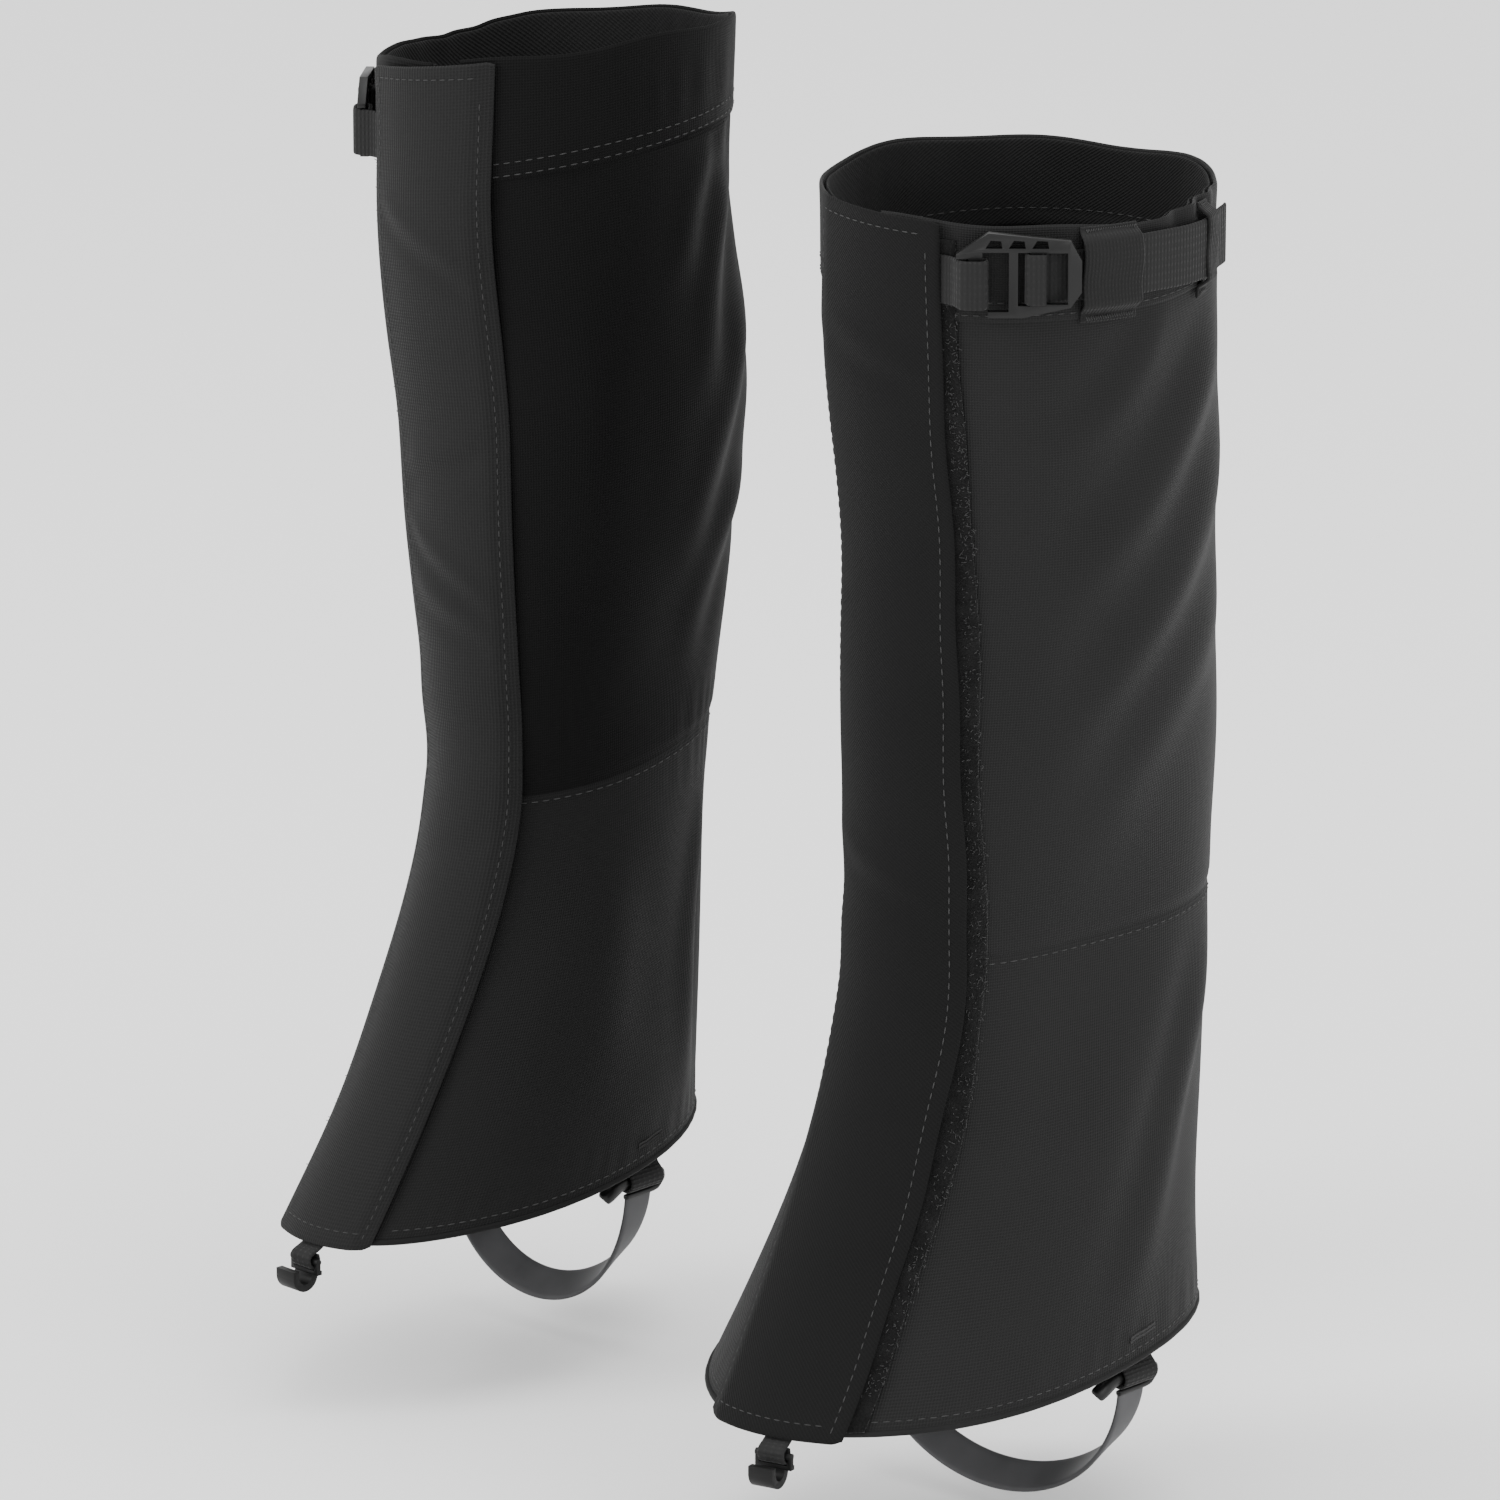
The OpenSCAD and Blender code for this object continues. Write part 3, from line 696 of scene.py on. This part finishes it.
def make_panels(s, side, body):
    def own(part):
        return side + "_" + part

    def shell_front(z):
        return edge(s, z, -2)

    def shell_back(z):
        return 2 * math.pi + edge(s, z, -13)

    girth = 2 * math.pi * top_radius[s]
    upper = panel(own("upper_panel"), s, shell_front, shell_back, lambda t: seam(s, t) - 1.0,
                  lambda t: collar_edge(s, t) + 2.0, 0.55, 0.5, (girth * 0.93, 216), (300, 170))
    finish_piece(upper, lit_and_shaded_cloth["shell"][s], body, [own("upper_shell")])
    girth_low = math.pi * (hem_wide[s] + hem_deep[s])
    lower = panel(own("lower_panel"), s, shell_front, shell_back, lambda t: hem(s, t) + 1.2,
                  lambda t: seam(s, t) + 1.4, 0.0, 0.5, (girth_low * 0.88, 150), (300, 120))
    finish_piece(lower, lit_and_shaded_cloth["foot"][s], body, [own("lower_shell")])
    collar = panel(own("collar_band"), s, shell_front, shell_back,
                   lambda t: collar_edge(s, t) - 0.5, lambda t: rim_line(s, t),
                   1.2, 0.7, (girth * 0.93, 37), (300, 24), 0.8)
    finish_piece(collar, lit_and_shaded_cloth["shell"][s], body, [own("collar")])
    facing = panel(own("collar_lining"), s, shell_front, shell_back,
                   lambda t: collar_edge(s, t) - 3, lambda t: rim_line(s, t) - 0.8,
                   -0.8, 0.5, (girth * 0.93, 40), (300, 20), 0.8)
    finish_piece(facing, lining, body, [own("collar_facing")])
    hem_in = panel(own("hem_lining"), s, shell_front, shell_back, lambda t: hem(s, t) + 1.8,
                   lambda t: hem(s, t) + 17, -1.2, 0.5, (girth_low * 0.88, 15), (220, 8))
    finish_piece(hem_in, lining, body, [own("hem_facing")])
    tape_in = panel(own("seam_tape"), s, lambda z: 3.23 + 0 * z, lambda z: 3.40 + 0 * z,
                    lambda t: seam(s, t) + 5, lambda t: collar_edge(s, t) - 4, -0.7, 0.4,
                    (9, 205), (8, 90))
    finish_piece(tape_in, lining, body, [own("calf_seam")])

    ts = np.linspace(edge(s, 390, free(s, 390) + tape_show + 1),
                     2 * math.pi + edge(s, 390, -24), 900)
    rows = [
        line(s, ts, collar_edge(s, ts) + 1.8, 1.95, 0.8),
        line(s, ts, collar_edge(s, ts) + 6.2, 1.95, 0.8),
        line(s, ts, seam(s, ts) - 3.6, 0.57),
        line(s, ts, hem(s, ts) + 5.0, 0.57)]
    sewn_line(own("panel_stitching"), rows, body)
    inside = [line(s, ts, collar_edge(s, ts) + 3, -1.3, 0.8)]
    sewn_line(own("lining_stitching"), inside, body)
    v, f = tube_mesh(line(s, np.linspace(shell_front(0), shell_back(0), 420),
                          hem(s, np.linspace(shell_front(0), shell_back(0), 420)) + 1.4, 0.1),
                     0.0011, 8)
    finish_piece(build(own("hem_binding"), v, f), lit_and_shaded_cloth["foot"][s], body)


# creases across the flaps: height in the middle, rise across the flap, and depth
flap_creases = {
    RIGHT: [(338, 26, 0.5), (262, -22, 0.55), (222, 30, 0.6), (206, 18, 0.5), (128, -16, 0.3)],
    LEFT: [(352, -18, 0.4), (276, 20, 0.35), (176, -22, 0.5), (96, 16, 0.3)]}


def make_flap(s, side, body):
    """The flap is one sheet, built lying closed over the front opening."""
    def own(part):
        return side + "_" + part

    def left_edge(z):
        return edge(s, z, sewn(s, z) + 0.4 * np.sin(z / 23 + s))

    def right_edge(z):
        return edge(s, z, free(s, z) + 0.7 * np.sin(z / 31 + 2 * s) + 0.3 * np.sin(z / 9))

    def top(t):
        return dipped(flap_top, s, t) + 2.5

    def wave_out(u, z):
        bow = 0.35 * np.sin(z / 17 + 2 * u) + 0.5 * np.sin(z / 47 + s + 3 * u)
        nip = -0.45 * near(z, 165, 30) * np.sin(z / 6.5 + 3 * u)
        for place, slope, depth in flap_creases[s]:
            off = z - place - slope * (u - 0.5)
            inside = smooth((u - 0.08) / 0.25) * smooth((0.98 - u) / 0.25)
            nip = nip + depth * inside * (near(off, 6, 5) - near(off, -3, 5))
        lift = 0.5 * smooth((u - 0.8) / 0.2) * np.sin(z / 27 + s) ** 2
        # the sewn edge lies down on the cloth, a little higher over the collar
        down = (2.0 - 0.5 * smooth((z - 352) / 10)) * smooth((0.16 - u) / 0.16)
        return 4.6 + bow + nip + lift - down

    def flap_points(u, v):
        a = left_edge(200.0)
        t = a + u * (right_edge(200.0) - a)
        z = 0.3 + v * (top(t) - 0.6)
        corner = smooth((np.abs(2 * u - 1) - 0.9) / 0.1)
        z = z - 0.9 * corner * smooth((v - 0.99) / 0.01) + 0.9 * corner * smooth((0.01 - v) / 0.01)
        a = left_edge(z)
        return leg(s, a + u * (right_edge(z) - a), z, wave_out(u, z), 0.1)
    flap = cloth(own("front_flap"), s, flap_points, spaced(44, 0.03), spaced(300, 0.005), 0.72, 1.6,
                 (52, 400))
    finish_piece(flap, lit_and_shaded_cloth["flap"][s], None, [own("flap"), own("flap_head")])
    split = [tuple(leg(s, 0.0, z, 4.0, 0)) for z in (352.0, 300.0)]
    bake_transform(flap)
    zs = np.linspace(3, flap_top[s] - 6, 420)
    rows = []
    for u in (0.08, 0.92):
        a = left_edge(zs)
        rows.append(line(s, a + u * (right_edge(zs) - a), zs, wave_out(u, zs) + 0.8, 0.1))
    for low_end in (True, False):
        u = np.linspace(0.1, 0.9, 60)
        a = left_edge(5.0 if low_end else 395.0)
        t = a + u * (right_edge(5.0 if low_end else 395.0) - a)
        z = 5.5 + 0 * t if low_end else top(t) - 5
        rows.append(line(s, t, z, wave_out(u, z) + 0.8, 0.1))
    sewing = stitches(own("flap_stitching"), rows, 2.3, 1.4, 0.19)
    finish_piece(sewing, thread, None)
    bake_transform(sewing)

    loop = panel(own("loop_strip"), s, lambda z: edge(s, z, -1),
                 lambda z: edge(s, z, free(s, z) + tape_show + 0.6 * np.sin(z / 13 + s)),
                 lambda t: hem(s, t) + 2, lambda t: dipped(flap_top, s, t) - 4, 2.1, 0.55,
                 (31, 385), (20, 260), 0.12)
    finish_piece(loop, loop_pile, body, [own("loop_tape")])
    hook = panel(own("hook_strip"), s, lambda z: edge(s, z, 1),
                 lambda z: edge(s, z, free(s, z) - 1.5),
                 lambda t: 18 + 0 * t, lambda t: 346 + 0 * t, 3.1, 0.32, (22, 330), (12, 160), 0.12)
    finish_piece(hook, hook_pile, None, [own("hook_tape")])
    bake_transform(hook)
    # the fuzzy edge of the loop strip: short curled fibres
    rng = np.random.default_rng(5 + s)
    fibres = []
    for k in range(900):
        z = rng.uniform(14, flap_top[s] - 20)
        x = free(s, z) + rng.uniform(0.6, tape_show + 0.6)
        root = leg(s, edge(s, z, x), z, 2.5, 0.12)
        way = leg(s, edge(s, z, x), z, 3.5, 0.12) - root
        drift = np.array([rng.normal(), rng.normal(), rng.normal()]) * 0.0005
        u = np.linspace(0, 1, 4)[:, None]
        fibres.append(root + way * u * rng.uniform(0.3, 0.9) + drift * u ** 2)
    threads(own("loop_fibres"), fibres, body, "loop_tape", 0.00013, fibre)


def make_belt(s, side, body):
    def own(part):
        return side + "_" + part

    half = 20.5
    rounded(own("buckle_frame"), own("buckle"), body, buckle_plastic, 0.55)
    tab = belt_piece(own("buckle_tab"), s, [
        (dip(s, 3.15, -30), -30), (dip(s, 3.15, -24.5), -24.5), (dip(s, 4.6, -21), -21),
        (3.2, 2.2 - half), (4.1, 5 - half), (3.9, 9.2 - half), (1.5, 10.3 - half),
        (-0.9, 9.2 - half), (-1.0, 5 - half), (-1.0, 2.5 - half)], 16.2, -3.1)
    finish_piece(tab, webbing, body, [own("flap_tab")])
    web = belt_piece(own("buckle_webbing"), s, [
        (dip(s, 2.35, 30.5), 30.5), (dip(s, 2.35, 24), 24), (dip(s, 2.6, 17.6), 17.6),
        (-0.9, 11), (-1.0, 5), (-0.4, 3.4), (1.5, 2.8), (3.5, 3.4), (4.1, 5), (3.9, 9.2)],
        16.8, -1.2)
    finish_piece(web, webbing, body, [own("buckle_web")])

    t0 = math.radians(buckle_angle[s] + 21)
    t1 = math.radians(buckle_angle[s] + 81)

    def tail_points(u, v):
        t = t0 + u * (t1 - t0)
        z = belt_height[s] + (v - 0.5) * 20 + 0.5 * np.sin(u * 7)
        ripple = 0.5 * np.sin(u * 9 + 1) * smooth(u * 4)
        return leg(s, t, z, 4.3 + ripple + 1.6 * smooth(u * 6 - 5) ** 2, 0.0)
    tail = cloth(own("belt"), s, tail_points, spaced(90, 0.01), spaced(12, 0.05), 0.68, 0.9,
                 (68, 20))
    finish_piece(tail, webbing, own("belt"), [own("belt_tail")])
    finish_piece(bridge(own("belt_keeper"), s, 18, 36), webbing_across, body,
                 [own("keeper")])
    finish_piece(bridge(own("rear_loop"), s, 64, 70.5), webbing_across, body,
                 [own("belt_loop")])
    paths = []
    for start, end, drops in ((18, 36, (-15.8, 13.2)), (64, 70.5, (-15.8, 13.2))):
        for drop in drops:
            t = math.radians(buckle_angle[s] + (start + end) / 2)
            spot = leg(s, t, belt_height[s] + drop, 3.0 if drop > 0 else 3.05, 0.0)
            along = leg(s, t + 0.01, belt_height[s] + drop, 3.0, 0.0) - spot
            along = along / np.linalg.norm(along)
            size = math.radians(end - start) * top_radius[s] - 2
            paths.append(bar_tack(spot, along, np.array([0, 0, 1.0]), size, 1.1))
    threads(own("keeper_tacks"), paths, body, "webbing")


def make_foot(s, side, body):
    def own(part):
        return side + "_" + part

    strap_body = own("instep_strap")
    rounded(own("lace_hook_piece"), own("lace_hook"), own("lace_hook"), hook_metal,
            0.6)
    # the lace hook's webbing, folded round its bar and sewn inside the toe
    z_bar = -5.0
    turn = math.asin(lace_aside[s] / wide(s, z_bar))
    yaw = math.atan2(deep(s, 0) * math.sin(turn), wide(s, 0) * math.cos(turn))
    bx = outward(0) + wide(s, 0) * math.sin(turn)
    by = middle(s, z_bar) - deep(s, z_bar) * math.cos(turn)

    def toe(out, z):
        return [bx + out * math.sin(yaw), by - out * math.cos(yaw), z]

    def front(z):
        shift = middle(s, z) - middle(s, z_bar) - (deep(s, z) - deep(s, z_bar)) * math.cos(turn)
        return -shift
    profile = [(front(12) + 1.9, 12), (front(6) + 2.1, 6), (front(0) + 2.6, 0), (4.3, -2.8),
               (4.75, -5.2), (3.9, -6.9), (2.4, -7.2), (0.9, -6.4), (0.55, -4.6), (1.0, -2.6)]
    flat, _ = curve_through(profile, 70)
    path = row(s, [toe(out, z) for out, z in flat])
    length = np.linalg.norm(np.diff(path, axis=0), axis=1).sum() * 1000
    across = np.array([s * math.cos(yaw), math.sin(yaw), 0])
    lace = ribbon(own("lace_webbing"), s, path, length, across, 10, 0.6, 90)
    finish_piece(lace, webbing, body, [own("lace_tab")])

    tack_z = hem(s, strap_angle) + 7
    tack_y = middle(s, tack_z) - deep(s, tack_z) * math.cos(strap_angle)
    tab_x = (wide(s, tack_z + 5) - 1.6) * math.sin(strap_angle) - 3.1
    for which, word in ((1, "outer"), (-1, "inner")):
        # one bent rod: its front end stands out, then the bar, an arm and the strap's own bar
        rod = [(-18.2, -17.4, 1.7), (-17.6, -16.9, 2.6), (-14.5, -15.1, 2.7), (-11, -13.9, 2.4),
               (-8, -13.5, 2.3), (0, -13.5, 2.3), (8.2, -13.5, 2.3), (9.8, -14.3, 1.7),
               (10.1, -16.4, 1.3), (9.2, -18.6, 1.2), (6.5, -19.3, 1.1), (0, -19.4, 1.1),
               (-6, -19.4, 1.1), (-6.4, -19.4, 0.6)]
        bent, _ = curve_through(rod, 90)
        path = row(s, [[outward(0) + which * (tab_x + 0.75 - 1.2 * smooth((-z - 15) / 4)),
                        tack_y + y, tack_z + z] for y, z, _ in bent])
        v, f = tube_mesh(path, bent[:, 2] / 1000, 16, False, (1.0, 0.0, 0.0))
        hook = build(own(word + "_hook"), v, f)
        finish_piece(hook, hook_plastic, strap_body, [own(word + "_strap_hook")])
        prof = [(0.75, 4), (0.75, -4), (1.1, -8.6), (3.1, -11), (4.1, -13.5), (3.1, -15.9),
                (0.75, -16.9), (-1.6, -15.9), (-2.6, -13.5), (-1.6, -11), (0.1, -9.4)]
        flat, _ = curve_through(prof, 60)
        path = row(s, [[outward(0) + which * (tab_x + x), tack_y, tack_z + z] for x, z in flat])
        tab = ribbon(own(word + "_tab"), s, path, 42, (0, 1, 0), 16, 0.6, 80)
        finish_piece(tab, webbing, strap_body, [own(word + "_strap_tab")])
    n = 120
    u = np.linspace(0, math.pi, n)
    reach = tab_x - 0.6
    drop = strap_drop - 19.5
    sx = reach * np.cos(u)
    sz = tack_z - 18.6 - drop * np.sin(u)
    lean = -4.0 * np.sin(u)
    path = row(s, np.stack([outward(0) + sx, tack_y + lean, sz], -1))
    length = np.linalg.norm(np.diff(path, axis=0), axis=1).sum() * 1000
    # the strap's face turns forwards and up towards the bottom of its loop
    tilt = math.radians(44) * np.sin(u) ** 1.5
    inward = np.stack([-s * drop * np.cos(u), 0 * u, reach * np.sin(u)], -1)
    inward /= np.linalg.norm(inward, axis=1, keepdims=True)
    backwards = np.array([0.0, 1.0, 0.0])
    across = np.cos(tilt)[:, None] * backwards + np.sin(tilt)[:, None] * inward
    strap = ribbon(own("strap"), s, path, length, across, 12.4, 0.8, 150)
    finish_piece(strap, strap_rubber, strap_body, [own("instep_strap")])
    paths = []
    for which in (1, -1):
        t = which * (strap_angle - 0.02)
        for up in (0, 1.1):
            ts = t + np.linspace(-0.085, 0.085, 44)
            k = np.arange(44)
            zz = hem(s, ts) + 8.5 + up + np.where(k % 2 == 0, 0.45, -0.45)
            paths.append(leg(s, ts, zz, 0.75))
    threads(own("strap_tacks"), paths, body, "shell_cloth")


for gaiter_side, word in ((RIGHT, "right"), (LEFT, "left")):
    make_panels(gaiter_side, word, word + "_gaiter")
    make_flap(gaiter_side, word, word + "_gaiter")
    make_belt(gaiter_side, word, word + "_gaiter")
    make_foot(gaiter_side, word, word + "_gaiter")

# ---------------------------------------------------------------- stage and lights

def plane(name, size, z):
    mesh = bpy.data.meshes.new(name)
    mesh.from_pydata([(-size, -size, z), (size, -size, z), (size, size, z), (-size, size, z)], [],
                     [(0, 1, 2, 3)])
    return link(mesh, name)


# just below the lowest point of the straps' loops
floor_height = -0.058
floor = plane("floor", 30, floor_height)
floor_mat = material("floor", (0.93, 0.93, 0.93), 0.9, 0.1)[0]
floor.data.materials.append(floor_mat)

world = bpy.data.worlds.new("studio")
world.use_nodes = True
world.node_tree.nodes["Background"].inputs["Color"].default_value = (1, 1, 1, 1)
world.node_tree.nodes["Background"].inputs["Strength"].default_value = 1.5
bpy.context.scene.world = world


def lamp(name, place, target, size, power):
    data = bpy.data.lights.new(name, "AREA")
    data.shape = "RECTANGLE"
    data.size = size[0]
    data.size_y = size[1]
    data.energy = power
    ob = bpy.data.objects.new(name, data)
    bpy.context.scene.collection.objects.link(ob)
    ob.location = place
    aim = np.array(target) - np.array(place)
    flat = math.hypot(aim[0], aim[1])
    ob.rotation_euler = (math.atan2(flat, -aim[2]), 0, math.atan2(-aim[0], aim[1]))
    return ob


lamp("key", (-1.6, -2.4, 1.9), (0, 0, 0.2), (1.4, 1.4), 60)
lamp("fill", (2.8, -0.4, 1.2), (0, 0, 0.2), (1.2, 1.8), 22)
lamp("top", (0.2, 0.3, 2.4), (0, 0, 0.2), (1.6, 1.6), 25)
